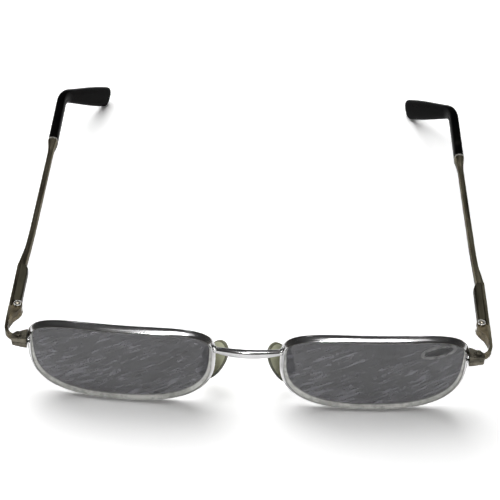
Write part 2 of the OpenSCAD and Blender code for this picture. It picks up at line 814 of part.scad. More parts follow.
// Bare arm: distance from the pin, inner side, outer side and height
function arm_stations() = let (w = wire_w / 2, flare = tip_start - flare_l)
    [
        [thick_start, 0.1, strip_out, strip_h, 5],
        [thick_start + taper_l * 0.2, -0.1, strip_out - 0.3, strip_h - 0.2, 4],
        [thick_start + taper_l * 0.5, 0.65 - w, 0.65 + w, wire_h + 0.1, 3],
        [thick_start + taper_l, 0.4 - w, 0.4 + w, wire_h, 3],
        [flare - 20, 0.2 - w, 0.2 + w, wire_h, 3],
        [flare, -w, w, wire_h, 3],
        [tip_start - flare_l * 0.6, -w - 0.1, w + 0.1, wire_h + 0.3, 3],
        [tip_start - flare_l * 0.3, -tip_w / 2 + 0.2, tip_w / 2 - 0.2, tip_h - 0.5, 3],
        [tip_start - 0.8, -tip_w / 2, tip_w / 2, tip_h - 0.05, 3],
        [tip_start, -tip_w / 2, tip_w / 2, tip_h - 0.05, 3]
    ];

module temple() {
    half = strip_h / 2;
    color("lightsteelblue") {
        at_hinge() translate([strip_in, 0, -half]) cube([strip_t, housing_end + 1, strip_h]);
        skin([
            for (q = arm_stations()) arm_ring(q[0], q[1], q[2], q[3], q[4]),
            arm_ring(tip_start, -core_w / 2, core_w / 2, core_h, 4),
            for (s = bend_stops) arm_ring(s, -core_w / 2, core_w / 2, core_h, 4),
            arm_ring(core_end, -core_w / 2, core_w / 2, core_h, 4)
        ]);
    }
}

// Height and width of the tip along its length
function tip_height(s) = let (u = max(0, (s - bend_start) / (path_end - bend_start)))
    tip_h + (paddle_h - tip_h) * (1 - cos(180 * min(1, u * 1.15))) / 2;

function tip_ring(s, share) =
    [for (p = ring_at(arm_point(s), arm_dir(s),
            section(tip_w * share, tip_height(s) * share, 2.6, tip_sides))) p];

function tip_outside() = [
    tip_ring(tip_front, 0.96),
    tip_ring(tip_front + 0.25, 1),
    for (s = bend_stops) tip_ring(s, 1),
    for (i = [1 : 4]) tip_ring(bend_end + (tail_l - end_round[0][0]) * i / 4, 1),
    for (e = [1 : len(end_round) - 1]) tip_ring(path_end - end_round[e][0], end_round[e][1]),
    [arm_point(path_end)]
];

function tip_bore(s) = ring_at(arm_point(s), arm_dir(s),
    section(core_w + 2 * core_fit, core_h + 2 * core_fit, 4, tip_sides));

module temple_tip() {
    color([0.06, 0.06, 0.07]) skin([
        tip_bore(core_end + 0.3),
        for (i = [len(bend_stops) - 1 : -1 : 0]) tip_bore(bend_stops[i]),
        tip_bore(tip_front),
        each tip_outside()
    ]);
}

// What is drawn for each name

on(-1) rim();  // rim_left
on(1) rim();  // rim_right
on(-1) lens();  // lens_left
on(1) lens();  // lens_right
bridge();
on(1) label();  // lens_label
on(-1) pad_arm();  // pad_arm_left
on(1) pad_arm();  // pad_arm_right
on(-1) pad_box();  // pad_box_left
on(1) pad_box();  // pad_box_right
color("dimgray") for (s = [-1, 1]) on(s) pad_screw();  // pad_screws
on(-1) pad_core();  // pad_core_left
on(1) pad_core();  // pad_core_right
on(-1) nose_pad();  // nose_pad_left
on(1) nose_pad();  // nose_pad_right
on(-1) lock_half(true);  // rim_lock_upper_left
on(1) lock_half(true);  // rim_lock_upper_right
on(-1) lock_half(false);  // rim_lock_lower_left
on(1) lock_half(false);  // rim_lock_lower_right
color("dimgray") for (s = [-1, 1]) on(s) lock_screw();  // rim_lock_screws
on(-1) endpiece();  // endpiece_left
on(1) endpiece();  // endpiece_right
on(-1) hinge_leaf();  // hinge_leaf_left
on(1) hinge_leaf();  // hinge_leaf_right
color("dimgray") for (s = [-1, 1]) on(s) hinge_screw();  // hinge_screws
on(-1) hinge_slider();  // hinge_slider_left
on(1) hinge_slider();  // hinge_slider_right
on(-1) rod_nut();  // rod_nut_left
on(1) rod_nut();  // rod_nut_right
on(-1) spring();  // spring_left
on(1) spring();  // spring_right
on(-1) spring_stop();  // spring_stop_left
on(1) spring_stop();  // spring_stop_right
on(-1) spring_housing();  // spring_housing_left
on(1) spring_housing();  // spring_housing_right
on(-1) temple();  // temple_left
on(1) temple();  // temple_right
on(-1) temple_tip();  // temple_tip_left
on(1) temple_tip();  // temple_tip_right
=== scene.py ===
# Full-rim metal glasses with spring hinges: the looks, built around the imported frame.
import math
import bmesh
import bpy
import numpy as np
from mathutils import Matrix, Vector

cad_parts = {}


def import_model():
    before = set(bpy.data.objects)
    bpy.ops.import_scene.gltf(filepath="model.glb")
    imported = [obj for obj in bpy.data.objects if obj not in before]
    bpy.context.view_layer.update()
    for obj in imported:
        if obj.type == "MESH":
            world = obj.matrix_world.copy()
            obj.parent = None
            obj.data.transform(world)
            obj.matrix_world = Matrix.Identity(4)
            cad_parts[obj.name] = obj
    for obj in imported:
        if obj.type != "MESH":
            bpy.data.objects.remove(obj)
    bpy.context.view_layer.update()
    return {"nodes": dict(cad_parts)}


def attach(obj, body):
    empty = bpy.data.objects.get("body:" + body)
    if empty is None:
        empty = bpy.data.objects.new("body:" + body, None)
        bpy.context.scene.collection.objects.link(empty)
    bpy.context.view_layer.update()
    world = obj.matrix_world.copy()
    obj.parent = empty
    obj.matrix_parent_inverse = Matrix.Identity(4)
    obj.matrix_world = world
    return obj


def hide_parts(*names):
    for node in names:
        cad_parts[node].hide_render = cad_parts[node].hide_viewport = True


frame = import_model()
NODES = frame["nodes"]
MM = 0.001

# Sizes in millimetres and powers of squareness, the same as in the part's source
FRONT_Y = -73.385
LENS_W, LENS_H, WIDEST_H = 52.2, 27.1, 17.6
SQUARE = {(1, 1): 3.8, (1, -1): 3.6, (-1, -1): 2.8, (-1, 1): 2.9}
BASE_R, WRAP = 165.0, math.radians(2.6)
LENS_MID_T, LENS_EDGE_T = 2.3, 1.3
RIM_D, RIM_T, GROOVE, LENS_FIT = 2.2, 1.1, 0.45, 0.05
BRIDGE_W, BRIDGE_Z, BRIDGE_BOW = 18.2, 20.9, 1.3
BRIDGE_MID_D, BRIDGE_MID_H, BRIDGE_END = 2.1, 2.9, 1.7
PAD_L, PAD_W, PAD_T = 14.0, 8.0, 2.0
PAD_LEAN, PAD_TURN, PAD_TILT = (math.radians(a) for a in (28, 40, 13))
PAD_SCREW = (11.3, 4.7, 12.1)
PAD_BACK, PAD_BOX_END, PAD_WIRE_D = -1.35, 1.4, 1.0
HINGE_OUT, HINGE_Y, ARM_Z = 4.3, 13.7, 20.9
STRIP_IN, STRIP_OUT, STRIP_H = 1.6, 2.5, 3.0
THICK_START = 17.82
BEND_L, BEND_R = 107.0, 13.0
TAIL_DOWN, TAIL_IN = math.radians(32), math.radians(24)
WIRE_W, WIRE_H = 1.9, 2.6
TIP_START, TIP_W, TIP_H, PADDLE_H = 80.5, 3.2, 4.4, 7.2
CORE_W, CORE_H = 1.2, 1.9
LABEL_L, LABEL_H, LABEL_IN, LABEL_DROP = 10.5, 4.8, 1.8, 4.2
LABEL_TILT = math.radians(10)
LOCK_Z = 20.3

# More sizes in millimetres, mostly of trim and edges that only the looks have
RIM_ROUND, FACET_D, FACET_T, FACET_POWER = 0.45, 1.3, 0.88, 1.6
GROOVE_HALF, LENS_SIDE, BEVEL_FOOT, BEVEL_TIP = 0.64, 0.62, 0.57, 0.03
BRIDGE_TRIM, BRIDGE_SINK = 0.02, 0.4
BRIDGE_BEAD, BRIDGE_BEAD_SIZE = (BRIDGE_W / 2 + 0.22, -0.1, BRIDGE_Z + 0.5), (0.72, 0.9, 0.74)
LOCK_BEAD, LOCK_BEAD_SIZE = (62.05, 0.75, 21.75), (0.5, 0.75, 0.55)
LABEL_GAP, LABEL_T, LABEL_RING = 0.05, 0.06, 1.1
EDGE_THIN, EDGE_WIDE, EDGE_FADE = 0.06, 1.75, 1.22
DOME_FOOT, DOME_TOP = 1.66, 0.5
DOME = ((1.15, 0), (1.165, 0.06), (1.165, 0.16), (1.13, 0.26), (1.03, 0.36), (0.88, 0.43),
        (0.7, 0.466), (0.4, 0.488))
DOME_SHADE_BANDS = 6
PAD_WIRE_RISE = 4.6
ARM_EASE, ARM_STEP, GLINT_BAND_L = 1.6, 1.2, 0.9
ARM_ROUND = 0.22
CORE_BACK, BORE_BACK, BORE_PLAY = 9, 8.7, 0.12
TIP_ROUND_L, TIP_ROUND_POWER, TIP_SHORT = 2.4, 2.2, 0.06
FLAT_DEG, SHARP_DEG, BEVEL_DEG = 0.6, 35, 30

# Worked out from them
RIM_OUT = RIM_T - GROOVE + LENS_FIT
RIM_IN = RIM_OUT - RIM_T
RIM_HALF_W = LENS_W / 2 + RIM_OUT
WIDEST_Z = WIDEST_H + RIM_OUT
LENS_CX = BRIDGE_W / 2 + RIM_HALF_W
LENS_CY = RIM_HALF_W * math.sin(WRAP)
LENS_MID_Z = WIDEST_Z + (LENS_H - 2 * WIDEST_H) / 2
HINGE = (BRIDGE_W / 2 + 2 * RIM_HALF_W * math.cos(WRAP) + HINGE_OUT, HINGE_Y, ARM_Z)
TOP_REACH = LENS_H - WIDEST_H
LABEL_Z = WIDEST_Z + TOP_REACH - LABEL_DROP
LABEL_TOP = TOP_REACH - LABEL_DROP + LABEL_L / 2 * math.sin(LABEL_TILT)
LABEL_END = (LABEL_TOP / TOP_REACH) ** SQUARE[(1, 1)]
LABEL_X = (LENS_CX + LENS_W / 2 * (1 - LABEL_END) ** (1 / SQUARE[(1, 1)]) - LABEL_IN
           - LABEL_L / 2 * math.cos(LABEL_TILT))


def power(v, e):
    """v to the power e, with the sign of v."""
    return math.copysign(abs(v) ** e, v) if abs(v) > 1e-9 else 0.0


def unit(v):
    """v brought to length 1."""
    v = np.asarray(v, float)
    return v / np.linalg.norm(v)


# Meshes

def make(name, points, faces, material_of, materials, sharp, side):
    """A smooth-shaded mesh from points in the front's own frame, mirrored for side -1."""
    points = np.array(points, float)
    points[:, 1] += FRONT_Y
    if side < 0:
        points[:, 0] *= -1
        faces = [tuple(reversed(f)) for f in faces]
    mesh = bpy.data.meshes.new(name)
    mesh.from_pydata((points * MM).tolist(), [], [list(map(int, f)) for f in faces])
    for material in materials:
        mesh.materials.append(material)
    mesh.polygons.foreach_set("material_index", np.array(material_of, int))
    return finish_mesh(name, mesh, sharp)


def finish_mesh(name, mesh, sharp):
    """The mesh as an object in the scene, smooth but for edges over the given degrees."""
    mesh.polygons.foreach_set("use_smooth", np.ones(len(mesh.polygons), bool))
    mesh.set_sharp_from_angle(angle=math.radians(sharp))
    mesh.validate()
    obj = bpy.data.objects.new(name, mesh)
    bpy.context.scene.collection.objects.link(obj)
    return obj


def skin(name, rings, materials, band=None, sharp=40, side=1):
    """A skin over rings of points. A one-point ring at either end closes it with a fan."""
    points, starts = [], []
    for ring in rings:
        starts.append(len(points))
        points += [list(p) for p in ring]
    faces, of = [], []
    n = max(len(r) for r in rings)
    for i in range(len(rings) - 1):
        a, b = starts[i], starts[i + 1]
        for j in range(n):
            k = (j + 1) % n
            if len(rings[i]) == 1:
                faces.append((a, b + j, b + k))
            elif len(rings[i + 1]) == 1:
                faces.append((a + j, b, a + k))
            else:
                faces.append((a + j, b + j, b + k, a + k))
            of.append(band(i, j) if band else 0)
    if len(rings[0]) > 1:
        faces.append(tuple(starts[0] + j for j in range(n)))
        of.append(band(0, 0) if band else 0)
    if len(rings[-1]) > 1:
        faces.append(tuple(starts[-1] + j for j in range(n - 1, -1, -1)))
        of.append(band(len(rings) - 2, 0) if band else 0)
    return make(name, points, faces, of, materials, sharp, side)


def section(w, h, n, count):
    """A superellipse of power n, as pairs of across and up."""
    return [
        (w / 2 * power(math.cos(a), 2 / n), h / 2 * power(math.sin(a), 2 / n))
        for a in ((i + 0.5) * 2 * math.pi / count for i in range(count))
    ]


def ring_at(p, d, shape, shift=0.0):
    """Points across direction d at p, as the source's own rings are laid."""
    d = unit(d)
    s = unit([d[1], -d[0], 0])
    u = np.cross(s, d)
    return [np.asarray(p) + s * (a + shift) + u * b for a, b in shape]


def smooth_path(points, steps):
    """Points on a smooth curve through the given ones."""
    pts = [np.array(p, float) for p in points]
    out = []
    for i in range(len(pts) - 1):
        a, b = pts[max(i - 1, 0)], pts[i]
        c, d = pts[i + 1], pts[min(i + 2, len(pts) - 1)]
        for k in range(steps):
            t = k / steps
            out.append(0.5 * (2 * b + (c - a) * t + (2 * a - 5 * b + 4 * c - d) * t * t
                              + (3 * b - a - 3 * c + d) * t ** 3))
    out.append(pts[-1])
    return out


def softened(node, name, width, material):
    """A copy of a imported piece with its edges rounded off, standing for that piece."""
    source = NODES[node]
    bm = bmesh.new()
    bm.from_mesh(source.data)
    bmesh.ops.remove_doubles(bm, verts=bm.verts, dist=1e-7)
    bmesh.ops.dissolve_limit(bm, angle_limit=math.radians(FLAT_DEG), verts=bm.verts, edges=bm.edges)
    mesh = bpy.data.meshes.new(name)
    bm.to_mesh(mesh)
    bm.free()
    mesh.materials.clear()
    mesh.materials.append(material)
    mesh.polygons.foreach_set("material_index", np.zeros(len(mesh.polygons), int))
    obj = finish_mesh(name, mesh, SHARP_DEG)
    bevel = obj.modifiers.new("edges", "BEVEL")
    bevel.width = width * MM
    bevel.segments = 2
    bevel.limit_method = "ANGLE"
    bevel.angle_limit = math.radians(BEVEL_DEG)
    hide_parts(node)
    return obj


# Materials

def shader(name):
    """A new material, with its nodes, its links and its main shader."""
    material = bpy.data.materials.new(name)
    material.use_nodes = True
    nodes, links = material.node_tree.nodes, material.node_tree.links
    return material, nodes, links, nodes["Principled BSDF"]


def noise(nodes, links, scale, detail=3.0, rough=0.5, stretch=(1, 1, 1), distortion=0.0, turn=0.0):
    """Noise in the object's own coordinates, turned about Y before it is stretched."""
    coords = nodes.new("ShaderNodeTexCoord")
    turned = nodes.new("ShaderNodeMapping")
    turned.inputs["Rotation"].default_value = (0, math.radians(turn), 0)
    mapping = nodes.new("ShaderNodeMapping")
    mapping.inputs["Scale"].default_value = stretch
    texture = nodes.new("ShaderNodeTexNoise")
    texture.inputs["Scale"].default_value = scale
    texture.inputs["Detail"].default_value = detail
    texture.inputs["Roughness"].default_value = rough
    texture.inputs["Distortion"].default_value = distortion
    links.new(coords.outputs["Object"], turned.inputs["Vector"])
    links.new(turned.outputs["Vector"], mapping.inputs["Vector"])
    links.new(mapping.outputs["Vector"], texture.inputs["Vector"])
    return texture.outputs["Fac"]


def ramp(nodes, links, fac, stops):
    """Colours along a value."""
    node = nodes.new("ShaderNodeValToRGB")
    elements = node.color_ramp.elements
    while len(elements) < len(stops):
        elements.new(0.5)
    for element, (place, colour) in zip(elements, stops):
        element.position = place
        element.color = (*colour, 1)
    links.new(fac, node.inputs["Fac"])
    return node.outputs["Color"]


def span(nodes, links, fac, low, high, start=0.0, end=1.0):
    """A value that runs from start to end, made to run from low to high."""
    node = nodes.new("ShaderNodeMapRange")
    node.inputs["From Min"].default_value = start
    node.inputs["From Max"].default_value = end
    node.inputs["To Min"].default_value = low
    node.inputs["To Max"].default_value = high
    links.new(fac, node.inputs["Value"])
    return node.outputs["Result"]


def bump(nodes, links, fac, strength, distance, target):
    """Fine relief, its distance in millimetres."""
    node = nodes.new("ShaderNodeBump")
    node.inputs["Strength"].default_value = strength
    node.inputs["Distance"].default_value = distance * MM
    links.new(fac, node.inputs["Height"])
    links.new(node.outputs["Normal"], target.inputs["Normal"])


def height(nodes, links):
    """The object's own Z."""
    coords = nodes.new("ShaderNodeTexCoord")
    split = nodes.new("ShaderNodeSeparateXYZ")
    links.new(coords.outputs["Object"], split.inputs["Vector"])
    return split.outputs["Z"]


def blended(nodes, links, first, second, share):
    """Mix of two values: share of the second in the first."""
    node = nodes.new("ShaderNodeMix")
    node.inputs["Factor"].default_value = share
    links.new(first, node.inputs["A"])
    links.new(second, node.inputs["B"])
    return node.outputs["Result"]


def plated(name, dark, light, rough=(0.08, 0.2), patch=180.0, scratch=0.06, metallic=1.0,
           stretch=(1, 1, 1), level=0.5, edge=1.0):
    """Polished plate with cloudy or lengthwise tone and fine rubbing marks; on the arms the
    lengthwise streaks are partly drawing wear and partly painted reflection. Level is that of the
    gloss, and edge the lightness of its tint at a flat angle."""
    material, nodes, links, bsdf = shader(name)
    bsdf.inputs["Metallic"].default_value = metallic
    bsdf.inputs["Specular IOR Level"].default_value = level
    bsdf.inputs["Specular Tint"].default_value = (edge, edge, edge, 1)
    cloud = noise(nodes, links, patch, 4.0, 0.6, stretch)
    fine = noise(nodes, links, 1500.0, 2.0, 0.5, (1, 0.15, 1))
    links.new(ramp(nodes, links, cloud, [(0.3, dark), (0.7, light)]), bsdf.inputs["Base Color"])
    links.new(span(nodes, links, cloud, *rough), bsdf.inputs["Roughness"])
    bump(nodes, links, fine, scratch, 0.02, bsdf)
    return material


rim_metal = plated("rim_plate", (0.5, 0.495, 0.5), (0.64, 0.635, 0.64), (0.1, 0.2))
# Painted light: the rim's front lip gets a paler, mostly matt plate that stands in for the bright
# reflection along the lower and side rims.
pale_lip_paint = plated("rim_lip_painted_light", (0.4, 0.4, 0.385), (0.66, 0.66, 0.635), (0.35, 0.5), 400.0, 0.1, 0.2)
# Painted shade: a dark plate on the top lip and on the lower and outer facets, standing in for the
# rim's own shadow and dark reflections.
shade_paint = plated("rim_painted_shade", (0.03, 0.028, 0.026), (0.11, 0.105, 0.095), (0.3, 0.45), 400.0, 0.1,
               0.0, level=0.15)
# Lengthwise streaks, partly drawing wear and partly painted reflection.
arm_metal = plated("arm_plate", (0.035, 0.028, 0.018), (0.27, 0.243, 0.172), (0.14, 0.28), 700.0,
                   0.1, 0.75, (1, 0.06, 1), edge=0.25)
housing_metal = plated("housing_plate", (0.018, 0.015, 0.01), (0.13, 0.12, 0.085), (0.16, 0.3),
                       600.0, 0.1, 0.8, (1, 0.12, 1), edge=0.15)
lock_metal = plated("lock_plate", (0.05, 0.046, 0.036), (0.19, 0.175, 0.135), (0.18, 0.36), 320.0,
                    0.08, 0.75, edge=0.3)
leaf_metal = plated("leaf_plate", (0.035, 0.028, 0.017), (0.22, 0.18, 0.11), (0.16, 0.3), 420.0,
                    0.08, 0.6, edge=0.4)
gilt = plated("screw_gilt", (0.6, 0.54, 0.42), (0.9, 0.86, 0.76), (0.1, 0.2), 500.0, 0.05, 0.9)
# Painted shade: a darker gilt on the dome's outer bands, standing in for dark reflections at its
# edge.
gilt_rim_shade = plated("screw_gilt_rim", (0.1, 0.078, 0.045), (0.3, 0.25, 0.17), (0.2, 0.34), 700.0,
                  0.08, 0.8, edge=0.4)
# Painted highlight: a pale band at the end of the arm's wire, by the sleeve.
ferrule_glint = plated("ferrule_plate", (0.1, 0.095, 0.08), (0.6, 0.58, 0.54), (0.2, 0.35), 900.0,
                 0.08, 0.5, edge=0.5)
steel = plated("bright_steel", (0.62, 0.62, 0.62), (0.82, 0.82, 0.8), (0.12, 0.25), 400.0)
solder = plated("solder", (0.72, 0.72, 0.72), (0.9, 0.9, 0.89), (0.12, 0.22), 500.0)
brass = plated("turned_brass", (0.62, 0.44, 0.18), (0.78, 0.6, 0.3), (0.2, 0.35), 400.0)


def black_plastic():
    """Near-black gloss with grey clouds, partly dust and partly painted sheen."""
    material, nodes, links, bsdf = shader("tip_black")
    cloud = noise(nodes, links, 90.0, 3.0, 0.55)
    fine = noise(nodes, links, 700.0, 2.0, 0.5, (1, 0.3, 1))
    # The paler grey clouds are partly dust and partly painted sheen.
    stops = [(0.3, (0.0015, 0.0015, 0.0018)), (0.62, (0.003, 0.0028, 0.0026)),
             (0.74, (0.015, 0.014, 0.0125))]
    links.new(ramp(nodes, links, cloud, stops), bsdf.inputs["Base Color"])
    links.new(span(nodes, links, fine, 0.1, 0.24), bsdf.inputs["Roughness"])
    bsdf.inputs["IOR"].default_value = 1.5
    bsdf.inputs["Specular IOR Level"].default_value = 0.006
    bump(nodes, links, fine, 0.05, 0.02, bsdf)
    return material


def tinted_lens():
    """Smoke glass with slanting smears, clouds and grain, and painted light that makes it a little
    paler towards its foot.
    """
    material, nodes, links, bsdf = shader("lens_tint")
    cloud = noise(nodes, links, 42.0, 2.0, 0.5, (1, 1, 1.8), 0.5)
    smear = noise(nodes, links, 1150.0, 1.0, 0.5, (0.13, 1, 1), 0.3, 30.0)
    grain = noise(nodes, links, 1700.0, 1.0, 0.5)
    # Painted light: the lens is made a little paler towards its foot.
    low = span(nodes, links, height(nodes, links), 1.0, 0.0, 0.002, 0.026)
    streaked = blended(nodes, links, blended(nodes, links, cloud, smear, 0.68), grain, 0.2)
    mixed = blended(nodes, links, streaked, low, 0.07)
    stops = [(0.39, (0.002, 0.0024, 0.0024)), (0.5, (0.036, 0.036, 0.039)),
             (0.6, (0.165, 0.163, 0.175))]
    links.new(ramp(nodes, links, mixed, stops), bsdf.inputs["Base Color"])
    links.new(span(nodes, links, cloud, 0.03, 0.08), bsdf.inputs["Roughness"])
    bsdf.inputs["IOR"].default_value = 1.5
    bsdf.inputs["Alpha"].default_value = 0.8
    bsdf.inputs["Coat Weight"].default_value = 0.25
    bsdf.inputs["Coat Roughness"].default_value = 0.03
    bsdf.inputs["Coat Tint"].default_value = (0.85, 0.82, 1.0, 1)
    return material


def frosted(name, dark, light, alpha):
    """Ground edge of the lens, as seen through it; as the lens's pale band it is painted light."""
    material, nodes, links, bsdf = shader(name)
    fine = noise(nodes, links, 700.0, 4.0, 0.6)
    cloud = noise(nodes, links, 110.0, 2.0, 0.5)
    mixed = nodes.new("ShaderNodeMath")
    mixed.operation = "MULTIPLY"
    links.new(fine, mixed.inputs[0])
    links.new(cloud, mixed.inputs[1])
    stops = [(0.14, dark), (0.34, light)]
    links.new(ramp(nodes, links, mixed.outputs["Value"], stops), bsdf.inputs["Base Color"])
    bsdf.inputs["Roughness"].default_value = 0.45
    bsdf.inputs["Alpha"].default_value = alpha
    bump(nodes, links, fine, 0.2, 0.02, bsdf)
    return material


def pad_plastic(name, dark, light, alpha):
    """Soft clear plastic gone yellow, with painted light that makes it paler towards its top."""
    material, nodes, links, bsdf = shader(name)
    cloud = noise(nodes, links, 260.0, 4.0, 0.6)
    fine = noise(nodes, links, 900.0, 2.0, 0.5)
    rise = span(nodes, links, height(nodes, links), 0.1, 0.9, 0.009, 0.018)
    lit_and_aged = blended(nodes, links, rise, cloud, 0.4)
    links.new(ramp(nodes, links, lit_and_aged, [(0.25, dark), (0.75, light)]), bsdf.inputs["Base Color"])
    links.new(span(nodes, links, fine, 0.12, 0.3), bsdf.inputs["Roughness"])
    bsdf.inputs["IOR"].default_value = 1.42
    bsdf.inputs["Alpha"].default_value = alpha
    bump(nodes, links, fine, 0.1, 0.03, bsdf)
    return material


def film(name, dark, light, alpha):
    """Thin clear film of the label, with faint blotches."""
    material, nodes, links, bsdf = shader(name)
    fine = noise(nodes, links, 480.0, 1.0, 0.5)
    links.new(ramp(nodes, links, fine, [(0.35, dark), (0.65, light)]), bsdf.inputs["Base Color"])
    links.new(span(nodes, links, fine, 0.15, 0.35), bsdf.inputs["Roughness"])
    bsdf.inputs["Alpha"].default_value = alpha
    return material


tip_black = black_plastic()
lens_tint = tinted_lens()
# Painted light: the pale band on the lens front, widest along the bottom, stands in for the light
# along the lower rim; the fade ring blends it into the tint.
lit_lens_band = frosted("lens_edge_painted_light", (0.4, 0.4, 0.38), (0.74, 0.74, 0.71), 0.95)
lens_fade = frosted("lens_edge_fade", (0.13, 0.13, 0.125), (0.3, 0.3, 0.29), 0.92)
lens_bevel = frosted("lens_bevel", (0.5, 0.5, 0.48), (0.7, 0.7, 0.68), 0.95)
# Painted light and shade: the pads are painted paler towards the top, and the edge band is a
# painted dark outline.
pad_clear = pad_plastic("pad_clear", (0.17, 0.165, 0.095), (0.74, 0.76, 0.54), 0.88)
pad_edge_painted_shade = pad_plastic("pad_edge_painted_shade", (0.05, 0.05, 0.035), (0.2, 0.2, 0.13), 0.92)
film_fill = film("film_fill", (0.008, 0.008, 0.0085), (0.03, 0.03, 0.032), 0.6)
film_clear = film("film_clear", (0.03, 0.03, 0.032), (0.07, 0.07, 0.075), 0.15)
film_edge = film("film_edge", (0.19, 0.19, 0.188), (0.31, 0.31, 0.308), 0.62)


# Lens and rim surfaces

def quadrant(t):
    """How square the lens is in the quarter that angle t lies in."""
    return SQUARE[(1 if math.sin(t) >= 0 else -1, 1 if math.cos(t) >= 0 else -1)]


def reach(t):
    """Height of the lens above or below its widest level."""
    return TOP_REACH if math.sin(t) >= 0 else WIDEST_H


def outline(t):
    """A point of the lens outline, from the middle of its widest level."""
    n = quadrant(t)
    return np.array([LENS_W / 2 * power(math.cos(t), 2 / n), reach(t) * power(math.sin(t), 2 / n)])


def outward(t):
    """The direction square to the outline, away from the lens."""
    n = quadrant(t)
    return unit([power(math.cos(t), 2 - 2 / n) * 2 / LENS_W,
                 power(math.sin(t), 2 - 2 / n) / reach(t)])


def fall(q):
    """How far the base curve has fallen back at q."""
    return BASE_R - math.sqrt(BASE_R ** 2 - q[0] ** 2 - (q[1] + WIDEST_Z - LENS_MID_Z) ** 2)


def on_front(q, d):
    """Point q of the right lens, d behind the base curve, in the front's own frame."""
    y = fall(q) - fall((RIM_HALF_W, 0)) + d
    return np.array([
        LENS_CX + q[0] * math.cos(WRAP) - y * math.sin(WRAP),
        LENS_CY + q[0] * math.sin(WRAP) + y * math.cos(WRAP),
        q[1] + WIDEST_Z,
    ])


# Angles round the lens, from the lock's upper half over the top and round to its lower half
SPLIT_T = math.asin(((LOCK_Z - WIDEST_Z) / TOP_REACH) ** (SQUARE[(1, 1)] / 2))
SPLIT_HALF = math.radians(0.3)
STEPS = 60
TURNS = (
    [SPLIT_T + SPLIT_HALF + (math.pi / 2 - SPLIT_T - SPLIT_HALF) * i / STEPS for i in range(STEPS)]
    + [math.pi / 2 * (1 + i / STEPS) for i in range(2 * STEPS)]
    + [math.pi * 1.5 + (math.pi / 2 + SPLIT_T - SPLIT_HALF) * i / STEPS for i in range(STEPS + 1)]
)


def rim_profile():
    """Section of the rim: a broad rounded facet in front, a round corner behind, groove inside.
    Its inner front lip is the stretch that lies between the two counts given with it."""
    half = RIM_D / 2
    pts = []
    for k in range(6):
        a = math.radians(90 - 18 * k)
        pts.append((RIM_OUT - RIM_ROUND * (1 - math.cos(a)), half - RIM_ROUND * (1 - math.sin(a))))
    for k in range(9):
        a = math.radians(90 * k / 8)
        pts.append((RIM_OUT - FACET_T * (1 - power(math.cos(a), FACET_POWER)),
                    -half + FACET_D * (1 - power(math.sin(a), FACET_POWER))))
    lip = len(pts) - 1
    pts += [(RIM_IN + 0.1, -half + 0.02), (RIM_IN + 0.03, -half + 0.07), (RIM_IN, -half + 0.16),
            (RIM_IN, -GROOVE_HALF), (LENS_FIT, 0), (RIM_IN, GROOVE_HALF),
            (RIM_IN, half - 0.16), (RIM_IN + 0.03, half - 0.05), (RIM_IN + 0.12, half)]
    return pts, (lip, lip + 4)


def rim(side, name):
    """The grooved wire round the lens, open at the lock."""
    profile, lip = rim_profile()
    rings = []
    for t in TURNS:
        q, n = outline(t), outward(t)
        rings.append([on_front(q + n * a, d) for a, d in profile])

    def band(i, j):
        """Painted shade on the lip along the top, and on the facet along the bottom and the outer
        side; painted light on the pale lip elsewhere.
        """
        rise, out = math.sin(TURNS[i]), math.cos(TURNS[i])
        if lip[0] - 1 <= j < lip[1] and rise >= 0.25:
            return 2
        if lip[0] < j < lip[1]:
            return 1
        dark_to = 8 + round(5 * max(0.0, min(1.0, (0.05 - rise) / 0.5)))
        return 2 if 5 <= j <= dark_to and (rise < -0.35 or (rise < 0.3 and out > 0)) else 0

    obj = skin(f"rim_shell_{name}", rings, [rim_metal, pale_lip_paint, shade_paint], band=band, sharp=50,
               side=side)
    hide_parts(f"rim_{name}")
    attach(obj, "front")


def half_lens(q):
    """Half the lens's thickness at q."""
    corner = math.hypot(LENS_W / 2, LENS_H / 2)
    return (LENS_MID_T - (LENS_MID_T - LENS_EDGE_T) * min(1, (math.hypot(*q) / corner) ** 2)) / 2


def ring_width(t):
    """Width of the ground edge seen through the lens, painted as a pale band of light: wide below,
    hardly any at the top.
    """
    u = max(0.0, min(1.0, (0.5 - math.sin(t)) / 1.4))
    return EDGE_THIN + EDGE_WIDE * u * u * (3 - 2 * u)


def lens(side, name):
    """The lens with its bevel, and its ground edge as a pale band on the front, painted light that
    is widest along the bottom and fades into the tint.
    """
    inset = RIM_IN - LENS_FIT
    shares = [0.12, 0.3, 0.5, 0.7, 0.85]

    def ring(share, face, extra=lambda t: 0.0):
        pts = []
        for t in TURNS:
            q = (outline(t) + outward(t) * (inset - extra(t))) * share
            pts.append(on_front(q, face * half_lens(q)))
        return pts

    def edge(off, half):
        return [on_front(outline(t) + outward(t) * off, half) for t in TURNS]

    rings = [[on_front((0, 0), -half_lens((0, 0)))]]
    rings += [ring(s, -1) for s in shares]
    rings.append(ring(1, -1, lambda t: EDGE_FADE * ring_width(t)))
    tint_front = len(rings) - 1
    rings += [ring(1, -1, ring_width), ring(1, -1, lambda t: 0.05), edge(inset, -LENS_SIDE)]
    bevel_front = len(rings) - 1
    rings += [edge(inset, -BEVEL_FOOT), edge(-0.02, -BEVEL_TIP), edge(-0.02, BEVEL_TIP),
              edge(inset, BEVEL_FOOT), edge(inset, LENS_SIDE)]
    bevel_back = len(rings) - 1
    rings += [ring(1, 1, lambda t: 0.05), ring(1, 1, lambda t: 0.15)]
    tint_back = len(rings) - 1
    rings += [ring(s, 1) for s in reversed(shares)]
    rings.append([on_front((0, 0), half_lens((0, 0)))])

    # Faces next to the bevel carry the pale band of painted light, with the fade ring on the front.
    def band(i, _):
        if i < tint_front or i >= tint_back:
            return 0
        if i == tint_front:
            return 3
        return 2 if bevel_front <= i < bevel_back else 1

    obj = skin(f"lens_body_{name}", rings, [lens_tint, lit_lens_band, lens_bevel, lens_fade],
               band=band, sharp=35, side=side)
    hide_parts(f"lens_{name}")
    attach(obj, "front")


